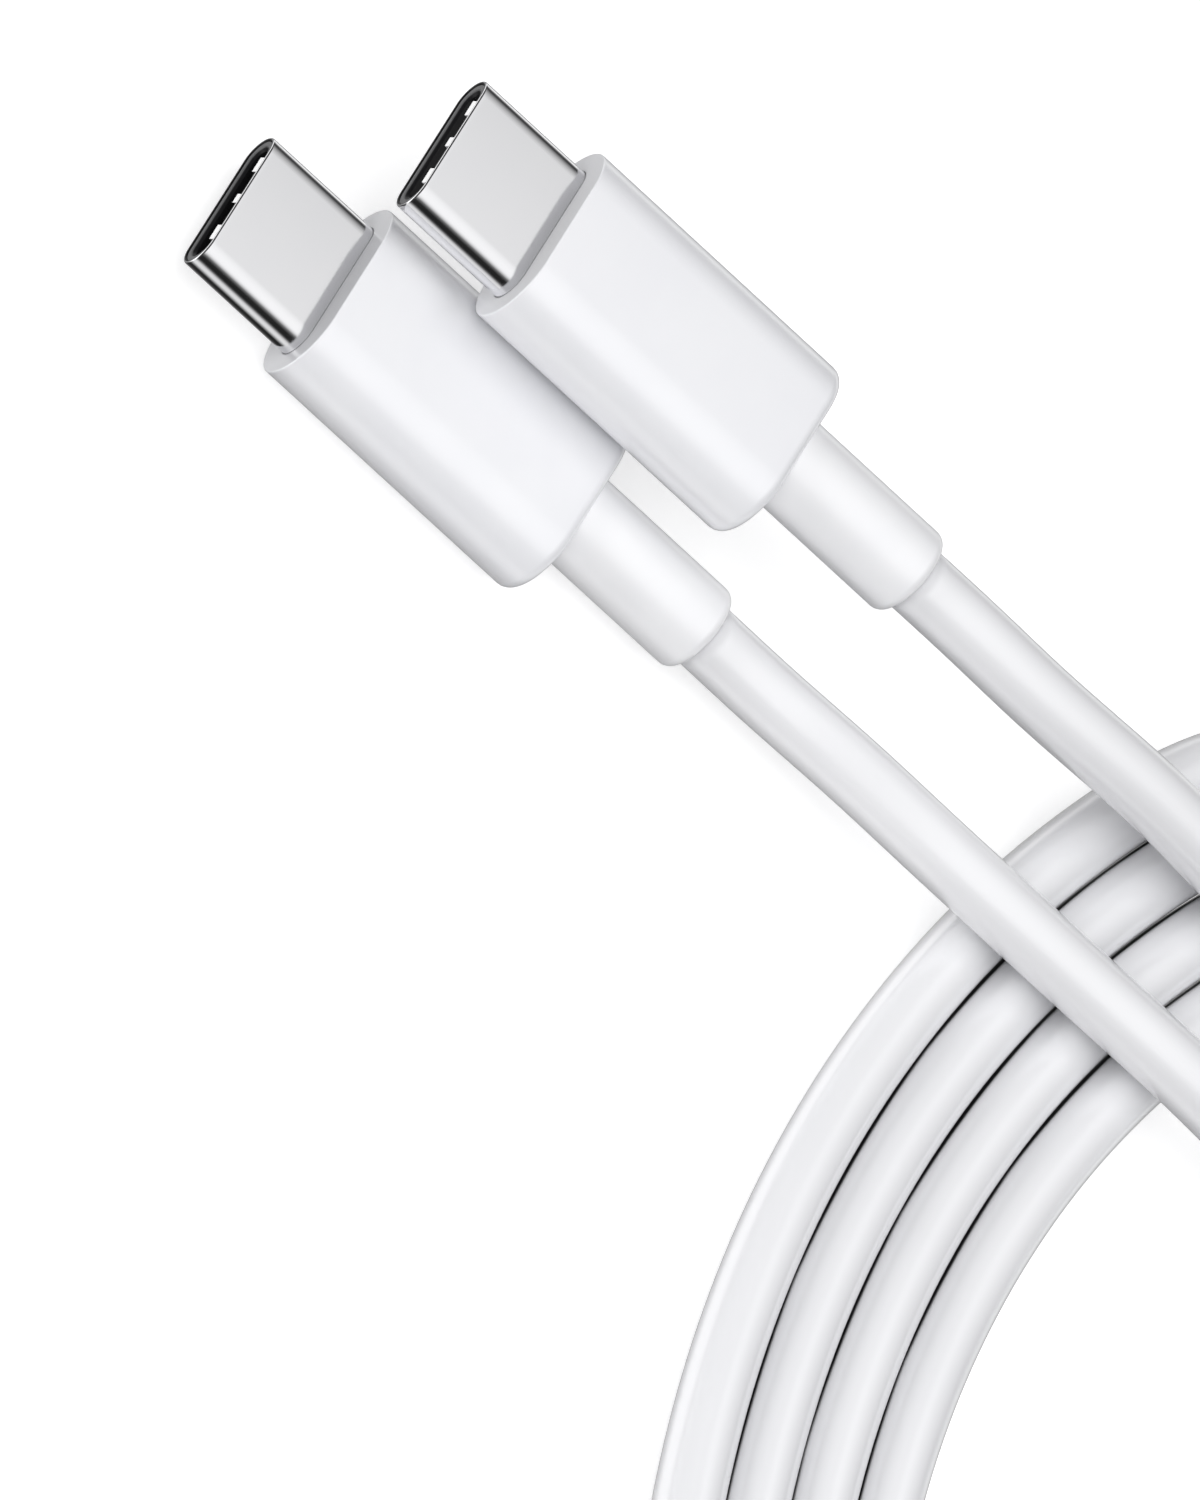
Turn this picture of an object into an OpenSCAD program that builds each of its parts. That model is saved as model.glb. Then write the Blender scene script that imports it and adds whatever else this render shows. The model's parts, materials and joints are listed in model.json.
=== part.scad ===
// Charging cable: a steel-shelled plug on each end of one round cord, wound into an oval coil.
// Millimetres. Z is up. The lower plug points its mouth along -Y and rests its flat underside on
// z = 0, with the origin under the middle of its moulding. The upper plug leans on its shoulder.

/* [Plug shell] */
// Width of the steel shell
shell_w = 8.25; // [8.0:0.05:8.6]
// Height of the steel shell
shell_h = 2.4; // [2.3:0.05:2.6]
// Wall of the steel shell
shell_wall = 0.2; // [0.15:0.01:0.25]
// Length of the shell that stands out of the moulding
shell_reach = 6.95; // [6.5:0.05:8]
// Length of the shell that is held inside the moulding
shell_seat = 2; // [1.6:0.1:3]
// Rounding of the shell's front edge
shell_lip = 0.1; // [0.05:0.01:0.14]

/* [Housing and contacts] */
// Width of the slot that the socket's tongue enters
slot_w = 6.9; // [6.7:0.05:7]
// Height of the slot
slot_h = 1.25; // [1.15:0.05:1.35]
// How far the housing sits back from the shell's edge
housing_setback = 0.08; // [0.05:0.01:0.3]
// Depth of the sloping lead-in round the slot
lead_in = 0.2; // [0.1:0.02:0.24]
// Length of the front housing
housing_len = 6.1; // [5.6:0.05:6.4]
// Spacing of the contacts
contact_pitch = 0.5; // [0.45:0.01:0.52]
// Width of a contact beam
contact_w = 0.25; // [0.2:0.01:0.3]
// Thickness of the contact strip
contact_t = 0.15; // [0.1:0.01:0.16]
// Thickness of the ground spring sheet
spring_t = 0.1; // [0.08:0.01:0.12]
// Thickness of a latch arm
latch_t = 0.2; // [0.15:0.01:0.22]
// Sliding clearance between moulded and pressed pieces
fit_gap = 0.02; // [0.01:0.01:0.04]

/* [Paddle board] */
// Width of the circuit board
board_w = 7.2; // [6.4:0.1:7.6]
// Length of the circuit board
board_len = 6.4; // [5.6:0.1:7]
// Thickness of the circuit board
board_t = 0.8; // [0.6:0.05:0.9]
// Length of a contact's tail on the board
tail_len = 1.3; // [1:0.1:1.6]
// Side of the square marker chip
chip_side = 1.8; // [1.4:0.1:2.2]
// Diameter of the two power wires
power_wire_d = 0.9; // [0.7:0.05:1]
// Diameter of the three signal wires
signal_wire_d = 0.6; // [0.5:0.05:0.7]

/* [Shield can] */
// Width of the can over the board
can_w = 8.75; // [8.7:0.05:9]
// Height of the can
can_h = 3.4; // [3.2:0.05:3.8]
// Length of the can
can_len = 8.2; // [7.8:0.1:8.6]
// Sheet thickness of the can
can_wall = 0.2; // [0.15:0.01:0.25]

/* [Moulding] */
// Width of the plug's moulding
mould_w = 10.6; // [10:0.1:12]
// Height of the plug's moulding
mould_h = 5.7; // [5.5:0.1:6.5]
// Length of the moulding
mould_len = 17; // [16.5:0.1:20]
// Rounding of the moulding's front edge
mould_front_round = 0.15; // [0.1:0.05:0.5]
// Rounding of the moulding's rear edge
mould_rear_round = 0.7; // [0.5:0.1:1.2]
// Width of the inner mould behind the can
inner_w = 8.2; // [7.8:0.1:8.6]
// Height of the inner mould
inner_h = 4.6; // [4.4:0.1:4.8]
// Length of the inner mould
inner_len = 4.7; // [4.4:0.1:5]
// Length of the crimp ring on the jacket
crimp_len = 1.6; // [1.2:0.1:2]
// Wall of the crimp ring
crimp_wall = 0.3; // [0.2:0.05:0.35]

/* [Strain relief] */
// Diameter of the strain relief sleeve
boot_d = 4.94; // [4.6:0.02:5.2]
// Length of the sleeve outside the moulding
boot_len = 9.3; // [8:0.1:12]
// Rounding of the sleeve's free end
boot_round = 0.6; // [0.3:0.05:0.65]
// Width of the flange that locks the sleeve in the moulding
flange_w = 7.6; // [6.8:0.1:8]
// Thickness of the flange
flange_t = 1.2; // [0.8:0.1:1.4]

/* [Cord and coil] */
// Diameter of the cord
cord_d = 3.6; // [3.4:0.05:3.8]
// Spacing of the strands that lie side by side in the coil
strand_pitch = 3.65; // [3.6:0.01:3.9]
// Number of strands side by side
strands = 4; // [3:1:4]
// Radius of the coil's long bow, on the outer strand
bow_r = 61.2; // [56:0.2:66]
// Half of the angle that the long bow spans
bow_half = 24; // [20:1:27]
// Radius of the coil's two corners, on the outer strand
corner_r = 23; // [21:0.5:25]

/* [Layout] */
// Sideways place of the upper plug
second_x = -7.5; // [-8:0.05:-7.5]
// Lengthwise place of the upper plug
second_y = 5.85; // [2:0.05:10]
// Height of the upper plug above the lower one
second_z = 5.25; // [5.25:0.05:6]

/* [Hidden] */
$fn = 64;
eps = 0.01;
over = 1;               // how far a cutter runs past what it cuts

// Stations along one plug, from its mouth at 0 towards the cord
shell_len = shell_reach + shell_seat;
housing_end = housing_setback + housing_len;
board_start = shell_len;
can_start = shell_len - 0.95;
can_end = can_start + can_len;
inner_end = can_end + inner_len;
flange_end = inner_end + flange_t;
mould_end = shell_reach + mould_len;
boot_end = mould_end + boot_len;
jacket_start = inner_end - 2.3;
wire_start = board_start + board_len - 1.5;

// Inside of the shell, and the housing that slides into it
bore_w = shell_w - 2 * shell_wall;
bore_h = shell_h - 2 * shell_wall;
housing_w = bore_w - 2 * fit_gap;
housing_h = bore_h - 2 * fit_gap;

// Contacts: places in the row, counted from -5.5 to 5.5 pitches; a charging lead leaves some empty
upper_places = [-5.5, -2.5, -1.5, -0.5, 0.5, 2.5, 5.5];
lower_places = [-5.5, -2.5, -1.5, 2.5, 5.5];
tail_z = board_t / 2 + contact_t / 2;
bow_z = 0.3;            // height of the beam where it presses on the tongue
bow_y = 3.2;            // distance of that place from the mouth
tip_y = 2.5;            // free end of a beam

// Ground spring lips, which fold over the housing's nose, and the fingers between them.
// Each lip is [middle, width]; the upper ones reach the mouth and the lower ones sit deeper.
lip_places = [[-2.22, 0.92], [0, 0.57], [2.22, 0.92]];
lip_tips = [0.02, 1];
lip_low = 0.56;         // height of a lip's free edge
lip_slope = 0.14;       // how far a lip leans back from its edge to its fold
finger_places = [-1.1, 1.1];
finger_w = 0.5;
spring_plate_w = 5.6;
spring_start = 2.4;
spring_end = 5.4;
spring_z = housing_h / 2 - spring_t / 2;

// Latch arms beside the slot
latch_x = slot_w / 2 + latch_t / 2 + 0.03;
latch_h = 0.5;
hook_y = 3.3;
hook_in = 0.3;          // how far a hook stands into the slot

// Where the plugs are, and where the coil's arcs are centred
mouth_y = -(shell_reach + mould_len / 2);
place_a = [0, mouth_y, mould_h / 2];
place_b = [second_x, mouth_y + second_y, mould_h / 2 + second_z];
bow_centre = [13.75, 99.05];
corner_reach = bow_r - corner_r;
corner_a = bow_centre + corner_reach * [-sin(bow_half), -cos(bow_half)];
corner_b = bow_centre + corner_reach * [sin(bow_half), -cos(bow_half)];

// Routes of the uncoiled cord, from inside each plug over the coil's long bow into its middle
over_coil = cord_d * 1.5;
route_a = [
    [0, 10, 2.85], [0, 17.8, 2.85], [0.1, 23, 3], [0.5, 28, 3.9], [1.1, 33, 4.9],
    [1.4, 38, over_coil], [1.4, 45, over_coil], [1.4, 52, over_coil], [1.4, 57.5, 5],
    [1.4, 63, 5], [1.4, 68, over_coil], [0.6, 73.3, over_coil], [-2.3, 77.8, over_coil],
    [-5.8, 80.3, over_coil], [-10.6, 81.5, over_coil]];
route_b = [
    [-7.5, 16, 8.1], [-7.5, 23.65, 8.1], [-7.5, 28, 8.1], [-7.6, 33, 7.8], [-8, 38, 7.3],
    [-8.4, 43, 6.6], [-8.5, 49, 5.7], [-8.5, 53, over_coil], [-8.5, 56, 5.1],
    [-8.4, 59.6, 4.2], [-7.7, 63.3, 3.2], [-5.2, 67.6, 2.2], [-1.5, 70.7, 1.8],
    [5.5, 72.5, 1.8], [12, 72.5, 1.8]];

// ---- Shapes that several pieces share ----

// Outline with straight top and bottom and half-round sides
module stadium(w, h) {
    square([w - h, h], center = true);
    for (side = [-1, 1]) translate([side * (w - h) / 2, 0]) circle(d = h);
}

// Pushes an outline drawn in X and Z along the plug, from station y to y + l
module along(y, l) {
    translate([0, y + l, 0]) rotate([90, 0, 0]) linear_extrude(height = l) children();
}

// Half of a lengthwise section: straight wall at radius r, rounded where it meets both ends
module half_section(r, l, front, rear) {
    translate([0, front]) square([r, l - front - rear]);
    square([r - front, l]);
    square([r - rear, l]);
    translate([r - front, front]) circle(r = front);
    translate([r - rear, l - rear]) circle(r = rear);
}

// Stadium bar with rounded end edges: two half revolves joined by a straight slab
module pill(w, h, l, front, rear) {
    flat = w - h;
    for (side = [0, 1]) mirror([side, 0, 0]) translate([flat / 2, 0, 0])
        rotate([-90, -90, 0]) rotate_extrude(angle = 180) half_section(h / 2, l, front, rear);
    translate([-flat / 2, 0, 0]) rotate([0, 90, 0]) linear_extrude(height = flat)
        for (side = [0, 1]) mirror([side, 0, 0]) half_section(h / 2, l, front, rear);
}

// Bent metal strip of thickness t and width w, which follows points given as [y, z]
module strip(points, t, w) {
    upper = [for (p = points) [p[0], p[1] + t / 2]];
    lower = [for (i = [len(points) - 1 : -1 : 0]) [points[i][0], points[i][1] - t / 2]];
    translate([-w / 2, 0, 0]) rotate([90, 0, 90]) linear_extrude(height = w)
        polygon(concat(upper, lower));
}

// Round bar along the plug
module rod(d, y, l, at = [0, 0]) {
    translate([at[0], y, at[1]]) rotate([-90, 0, 0]) cylinder(d = d, h = l);
}

// ---- Pieces of one plug ----

module plug_shell() {
    difference() {
        pill(shell_w, shell_h, shell_len, shell_lip, eps);
        along(-over, shell_len + 2 * over) stadium(bore_w, bore_h);
    }
}

// Slope round the slot: each side's cone and the wedge between them
module slot_lead_in() {
    flat = slot_w - slot_h;
    near = slot_h / 2 + lead_in;
    for (side = [-1, 1]) translate([side * flat / 2, housing_setback, 0])
        rotate([-90, 0, 0]) cylinder(r1 = near, r2 = slot_h / 2, h = lead_in);
    translate([-flat / 2, housing_setback, 0]) rotate([90, 0, 90])
        linear_extrude(height = flat)
            polygon([[0, -near], [0, near], [lead_in, slot_h / 2], [lead_in, -slot_h / 2]]);
}

module spring_pockets(tip) {
    room = housing_h / 2 - spring_t - fit_gap;
    translate([-spring_plate_w / 2 - fit_gap, spring_start - fit_gap, room])
        cube([spring_plate_w + 2 * fit_gap, spring_end - spring_start + 2 * fit_gap, over]);
    for (lip = lip_places) translate([lip[0] - lip[1] / 2 - fit_gap, tip - fit_gap, lip_low - fit_gap])
        cube([lip[1] + 2 * fit_gap, spring_start - tip + fit_gap, over]);
    for (x = finger_places) translate([x - finger_w / 2 - fit_gap, 1.1, 0])
        cube([finger_w + 2 * fit_gap, spring_start - 1.1 + eps, over]);
}

module plug_housing() {
    difference() {
        along(housing_setback, housing_len) stadium(housing_w, housing_h);
        along(-over, housing_end + 2 * over) stadium(slot_w, slot_h);
        slot_lead_in();
        for (side = [0, 1]) mirror([0, 0, side]) spring_pockets(lip_tips[side]);
        for (side = [0, 1]) mirror([side, 0, 0])
            translate([slot_w / 2 - over, hook_y - 1, -latch_h / 2 - fit_gap])
                cube([over + latch_t + 0.08, housing_end, latch_h + 2 * fit_gap]);
    }
}

module contact_row(places) {
    path = [[tip_y, bow_z + 0.16], [bow_y - 0.25, bow_z + 0.02], [bow_y + 0.25, bow_z + 0.02],
            [housing_end, tail_z], [board_start + tail_len, tail_z]];
    for (place = places) translate([place * contact_pitch, 0, 0])
        strip(path, contact_t, contact_w);
}

module latch_body() {
    translate([-latch_x - latch_t / 2, housing_end + 0.4, -contact_t / 2])
        cube([2 * latch_x + latch_t, shell_len - housing_end - 0.4, contact_t]);
    for (side = [0, 1]) mirror([side, 0, 0]) translate([0, 0, -latch_h / 2])
        linear_extrude(height = latch_h) polygon([
            [latch_x + latch_t / 2, housing_end + 1], [latch_x + latch_t / 2, hook_y - 0.6],
            [latch_x - latch_t / 2, hook_y - 0.7], [latch_x - hook_in - latch_t / 2, hook_y],
            [latch_x - hook_in - latch_t / 2, hook_y + 0.25], [latch_x - latch_t / 2, hook_y + 0.6],
            [latch_x - latch_t / 2, housing_end + 1]]);
}

// Lip whose free edge is at y = tip: a flat strip that folds down over the housing's nose
module spring_lip(tip, w) {
    top = housing_h / 2;
    fold = tip + lip_slope;
    translate([-w / 2, 0, 0]) rotate([90, 0, 90]) linear_extrude(height = w) polygon([
        [tip, lip_low], [fold, top], [spring_start, top], [spring_start, top - spring_t],
        [fold + spring_t, top - spring_t], [tip + spring_t, lip_low]]);
}

module spring_set() {
    for (side = [0, 1]) mirror([0, 0, side]) {
        translate([-spring_plate_w / 2, spring_start, spring_z - spring_t / 2])
            cube([spring_plate_w, spring_end - spring_start, spring_t]);
        for (lip = lip_places) translate([lip[0], 0, 0]) spring_lip(lip_tips[side], lip[1]);
        for (x = finger_places) translate([x, 0, 0])
            strip([[1.2, 0.5], [1.5, 0.46], [spring_start + eps, spring_z]], spring_t, finger_w);
    }
}

module block() {
    difference() {
        along(housing_end, shell_len - housing_end) stadium(housing_w, housing_h);
        contact_row(upper_places);
        mirror([0, 0, 1]) contact_row(lower_places);
        latch_body();
    }
}

module board() {
    translate([-board_w / 2, board_start, -board_t / 2]) cube([board_w, board_len, board_t]);
}

module chips() {
    translate([-chip_side / 2, board_start + 2, board_t / 2])
        cube([chip_side, chip_side, 0.5]);
    for (x = [-2.4, 2.4]) translate([x - 0.3, board_start + 2.4, board_t / 2])
        cube([0.6, 1, 0.4]);
    for (x = [-1.5, 1.5]) translate([x - 0.25, board_start + 2.4, -board_t / 2 - 0.4])
        cube([0.5, 1, 0.4]);
}

module wire_set() {
    for (side = [-1, 1])
        rod(power_wire_d, wire_start, jacket_start - wire_start,
            [side * 0.62, (board_t + power_wire_d) / 2]);
    for (x = [-0.75, 0, 0.75])
        rod(signal_wire_d, wire_start, jacket_start - wire_start,
            [x, -(board_t + signal_wire_d) / 2]);
}

// Whole shield can; each half is one side of it
module can() {
    difference() {
        along(can_start, can_len) stadium(can_w, can_h);
        along(can_start + can_wall, can_len) stadium(can_w - 2 * can_wall, can_h - 2 * can_wall);
        along(can_start - over, 2 * over) stadium(shell_w, shell_h);
    }
}

module can_half(side) {
    intersection() {
        can();
        translate([-can_w, 0, side > 0 ? 0 : -can_h]) cube([2 * can_w, can_end + over, can_h]);
    }
}

module crimp() {
    difference() {
        rod(cord_d + 2 * crimp_wall, jacket_start, crimp_len);
        rod(cord_d, jacket_start - over, crimp_len + 2 * over);
    }
}

module inner() {
    difference() {
        along(can_end, inner_len) stadium(inner_w, inner_h);
        wire_set();
        rod(cord_d, jacket_start, inner_len + over);
        rod(cord_d + 2 * crimp_wall, jacket_start, crimp_len);
    }
}

module moulding() {
    difference() {
        translate([0, shell_reach, 0])
            pill(mould_w, mould_h, mould_len, mould_front_round, mould_rear_round);
        along(shell_reach - over, shell_len) stadium(shell_w, shell_h);
        along(can_start, can_len) stadium(can_w, can_h);
        along(can_end, inner_len) stadium(inner_w, inner_h);
        along(inner_end, flange_t) stadium(flange_w, boot_d);
        rod(boot_d, inner_end, mould_len);
    }
}

module sleeve() {
    difference() {
        union() {
            translate([0, inner_end, 0]) rotate([-90, 0, 0]) rotate_extrude()
                half_section(boot_d / 2, boot_end - inner_end, eps, boot_round);
            along(inner_end, flange_t) stadium(flange_w, boot_d);
        }
        rod(cord_d, inner_end - over, boot_end);
    }
}

// ---- Cord ----

function unit(v) = v / norm(v);
function heading(route, i) =
    unit(route[min(i + 1, len(route) - 1)] - route[max(i - 1, 0)]);
// One ring of eight points round a place on the route
function ring_at(p, dir) =
    let (side = unit(cross(dir, [0, 0, 1])), up = cross(side, dir))
    [for (k = [0 : 7]) p + cord_d / 2 * (cos(45 * k) * side + sin(45 * k) * up)];

// Eight-sided tube swept along a route, with a ring at each of its points
module tube(route) {
    n = len(route);
    points = [for (i = [0 : n - 1]) each ring_at(route[i], heading(route, i))];
    walls = [for (i = [0 : n - 2], k = [0 : 7])
        [8 * i + k, 8 * i + 8 + k, 8 * i + 8 + (k + 1) % 8, 8 * i + (k + 1) % 8]];
    polyhedron(points = points, convexity = 10, faces = concat(
        [[for (k = [0 : 7]) k]], walls, [[for (k = [7 : -1 : 0]) 8 * (n - 1) + k]]));
}

// Outline of the coil at a distance inwards from its outer strand's middle
module coil_outline(inset) {
    r = corner_r - inset;
    spread = 2 * bow_r * [sin(bow_half), -cos(bow_half)];
    for (c = [corner_a, corner_b]) translate(c) circle(r = r);
    translate(corner_a) square([corner_b[0] - corner_a[0], r]);
    intersection() {
        translate(bow_centre) circle(r = bow_r - inset, $fn = 128);
        polygon([corner_a, corner_b, bow_centre + spread, bow_centre + [-spread[0], spread[1]]]);
    }
}

module coil() {
    linear_extrude(height = cord_d) difference() {
        coil_outline(-cord_d / 2);
        coil_outline((strands - 1) * strand_pitch + cord_d / 2);
    }
}

// ---- Nodes ----

module shell_a() { color("#dfe0e4") translate(place_a) plug_shell(); }
module shell_b() { color("#dfe0e4") translate(place_b) plug_shell(); }
module housing_a() { color("#4a4a4d") translate(place_a) plug_housing(); }
module housing_b() { color("#4a4a4d") translate(place_b) plug_housing(); }
module contact_block_a() { color("#2c2c2e") translate(place_a) block(); }
module contact_block_b() { color("#2c2c2e") translate(place_b) block(); }
module upper_contacts_a() { color("#d9a441") translate(place_a) contact_row(upper_places); }
module upper_contacts_b() { color("#d9a441") translate(place_b) contact_row(upper_places); }
module lower_contacts_a() {
    color("#d9a441") translate(place_a) mirror([0, 0, 1]) contact_row(lower_places);
}
module lower_contacts_b() {
    color("#d9a441") translate(place_b) mirror([0, 0, 1]) contact_row(lower_places);
}
module latch_plate_a() { color("#c3c5c9") translate(place_a) latch_body(); }
module latch_plate_b() { color("#c3c5c9") translate(place_b) latch_body(); }
module ground_springs_a() { color("#e8e9ec") translate(place_a) spring_set(); }
module ground_springs_b() { color("#e8e9ec") translate(place_b) spring_set(); }
module paddle_board_a() { color("#1f6b3a") translate(place_a) board(); }
module paddle_board_b() { color("#1f6b3a") translate(place_b) board(); }
module board_chips_a() { color("#202124") translate(place_a) chips(); }
module board_chips_b() { color("#202124") translate(place_b) chips(); }
module wires_a() { color("#c23b33") translate(place_a) wire_set(); }
module wires_b() { color("#c23b33") translate(place_b) wire_set(); }
module can_upper_a() { color("#b9bbc0") translate(place_a) can_half(1); }
module can_upper_b() { color("#b9bbc0") translate(place_b) can_half(1); }
module can_lower_a() { color("#b9bbc0") translate(place_a) can_half(-1); }
module can_lower_b() { color("#b9bbc0") translate(place_b) can_half(-1); }
module crimp_ring_a() { color("#a9abb0") translate(place_a) crimp(); }
module crimp_ring_b() { color("#a9abb0") translate(place_b) crimp(); }
module inner_mould_a() { color("#e9e6dc") translate(place_a) inner(); }
module inner_mould_b() { color("#e9e6dc") translate(place_b) inner(); }
module overmould_a() { color("#f3f3f6") translate(place_a) moulding(); }
module overmould_b() { color("#f3f3f6") translate(place_b) moulding(); }
module boot_a() { color("#f1f1f4") translate(place_a) sleeve(); }
module boot_b() { color("#f1f1f4") translate(place_b) sleeve(); }
module cord_a() {
    start = place_a + [0, jacket_start, 0];
    color("#f0f0f2") tube(concat([start], route_a));
}
module cord_b() {
    start = place_b + [0, jacket_start, 0];
    color("#f0f0f2") tube(concat([start], route_b));
}
module cord_coil() { color("#f0f0f2") coil(); }

shell_a();
housing_a();
contact_block_a();
upper_contacts_a();
lower_contacts_a();
latch_plate_a();
ground_springs_a();
paddle_board_a();
board_chips_a();
wires_a();
can_upper_a();
can_lower_a();
crimp_ring_a();
inner_mould_a();
overmould_a();
boot_a();
shell_b();
housing_b();
contact_block_b();
upper_contacts_b();
lower_contacts_b();
latch_plate_b();
ground_springs_b();
paddle_board_b();
board_chips_b();
wires_b();
can_upper_b();
can_lower_b();
crimp_ring_b();
inner_mould_b();
overmould_b();
boot_b();
cord_a();
cord_b();
cord_coil();
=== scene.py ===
# %% [markdown]
# # A charging cable
# Two steel-shelled plugs lie one on the other's shoulder, and their single white cord runs over
# and into a flat oval coil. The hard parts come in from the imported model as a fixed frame; this
# notebook gives them their finish, and makes the cord and the smooth white mouldings as surfaces
# worked out with numpy. Everything is in metres, in the same frame as the model.

# %% Load the frame
import json
import math
import bmesh
import bpy
import numpy as np
from mathutils import Matrix, Vector


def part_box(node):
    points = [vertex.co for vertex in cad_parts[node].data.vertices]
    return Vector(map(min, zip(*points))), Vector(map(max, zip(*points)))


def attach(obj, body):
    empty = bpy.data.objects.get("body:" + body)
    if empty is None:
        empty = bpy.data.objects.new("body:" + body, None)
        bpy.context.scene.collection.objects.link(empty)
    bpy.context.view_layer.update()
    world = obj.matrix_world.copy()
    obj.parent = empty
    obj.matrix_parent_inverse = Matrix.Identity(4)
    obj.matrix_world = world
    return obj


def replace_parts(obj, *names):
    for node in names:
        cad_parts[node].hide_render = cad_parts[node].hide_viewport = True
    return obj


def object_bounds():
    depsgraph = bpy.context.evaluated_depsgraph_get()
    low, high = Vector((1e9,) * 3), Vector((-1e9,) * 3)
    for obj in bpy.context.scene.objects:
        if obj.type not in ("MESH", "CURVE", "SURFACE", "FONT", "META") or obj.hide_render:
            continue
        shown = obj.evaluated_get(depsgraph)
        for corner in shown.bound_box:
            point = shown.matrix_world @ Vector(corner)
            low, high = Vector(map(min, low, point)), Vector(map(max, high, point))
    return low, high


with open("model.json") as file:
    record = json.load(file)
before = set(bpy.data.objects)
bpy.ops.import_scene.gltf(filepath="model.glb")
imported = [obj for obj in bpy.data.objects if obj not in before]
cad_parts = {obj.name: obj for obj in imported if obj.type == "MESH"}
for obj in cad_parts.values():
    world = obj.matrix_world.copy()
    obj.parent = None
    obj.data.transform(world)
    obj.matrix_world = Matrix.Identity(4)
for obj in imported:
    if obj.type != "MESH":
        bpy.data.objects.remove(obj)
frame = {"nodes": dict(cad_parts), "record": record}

MM = 0.001
cad_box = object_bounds()
nodes = frame["nodes"]
print("nodes in the frame:", len(nodes))

# %% [markdown]
# ## Where the plugs are
# Each plug is described by stations along its own axis, measured from the mouth of its shell.
# They are read from the frame's boxes, so the surfaces below land where the model says.


# %% Stations along a plug
def corner(node, which, axis):
    """One coordinate of a node's lowest (0) or highest (1) corner."""
    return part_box(node)[which][axis]


def across(node, axis):
    """A node's size along one axis."""
    return corner(node, 1, axis) - corner(node, 0, axis)


def plug_sizes(end):
    """Mouth centre, sizes and stations of one plug, all in metres."""
    shell, mould, boot = f"shell_{end}", f"overmould_{end}", f"boot_{end}"
    can, inner = f"can_upper_{end}", f"inner_mould_{end}"
    mouth = np.array([
        (corner(shell, 0, 0) + corner(shell, 1, 0)) / 2,
        corner(shell, 0, 1),
        (corner(shell, 0, 2) + corner(shell, 1, 2)) / 2])

    def along(node, which):
        return corner(node, which, 1) - mouth[1]

    return {
        "mouth": mouth,
        "shell": (across(shell, 0), across(shell, 2)),
        "mould": (across(mould, 0), across(mould, 2)),
        "can": (across(can, 0), 2 * across(can, 2)),
        "inner": (across(inner, 0), across(inner, 2)),
        "boot": across(boot, 2),
        "shell_end": along(shell, 1),
        "face": along(mould, 0),
        "can_start": along(can, 0),
        "can_end": along(can, 1),
        "inner_end": along(boot, 0),
        "mould_end": along(mould, 1),
        "boot_end": along(boot, 1),
    }


plugs = {end: plug_sizes(end) for end in "ab"}
for end, p in plugs.items():
    print(f"plug {end}: mouth {np.round(p['mouth'] / MM, 2)}, {p['boot_end'] / MM:.2f} mm long")

# %% [markdown]
# ## The camera
# The view is that of a long lens from far off, which keeps the plugs' long edges parallel. It looks
# down at 55 degrees from in front of the mouths, and is rolled so that the plugs run from the top
# left to the bottom right.

# %% Camera
VIEW_AZIMUTH = math.radians(55.5)
VIEW_ELEVATION = math.radians(55.5)
VIEW_ROLL = math.radians(-72.0)
LENS = 1300.0
SENSOR = 36.0
VIEW_HEIGHT = 73.82 * MM
# What the middle of the picture looks at, from the upper plug's mouth
AIM = Vector((18.44, 24.70, -1.4)) * MM

back = Vector((
    math.sin(VIEW_AZIMUTH) * math.cos(VIEW_ELEVATION),
    -math.cos(VIEW_AZIMUTH) * math.cos(VIEW_ELEVATION),
    math.sin(VIEW_ELEVATION)))
level_right = Vector((math.cos(VIEW_AZIMUTH), math.sin(VIEW_AZIMUTH), 0))
level_up = back.cross(level_right)
right = level_right * math.cos(VIEW_ROLL) - level_up * math.sin(VIEW_ROLL)
up = level_right * math.sin(VIEW_ROLL) + level_up * math.cos(VIEW_ROLL)

camera_data = bpy.data.cameras.new("camera")
camera = bpy.data.objects.new("camera", camera_data)
bpy.context.scene.collection.objects.link(camera)
bpy.context.scene.camera = camera
camera_data.lens = LENS
camera_data.sensor_width = SENSOR
distance = VIEW_HEIGHT * LENS / SENSOR
aim = Vector(plugs["b"]["mouth"]) + AIM
turn = Matrix((right, up, back)).transposed().to_4x4()
camera.matrix_world = Matrix.Translation(aim + back * distance) @ turn
camera_data.clip_start = 0.1
camera_data.clip_end = 2 * distance
print(f"camera {distance:.2f} m away, looking down {math.degrees(VIEW_ELEVATION):.1f} degrees")
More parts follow.
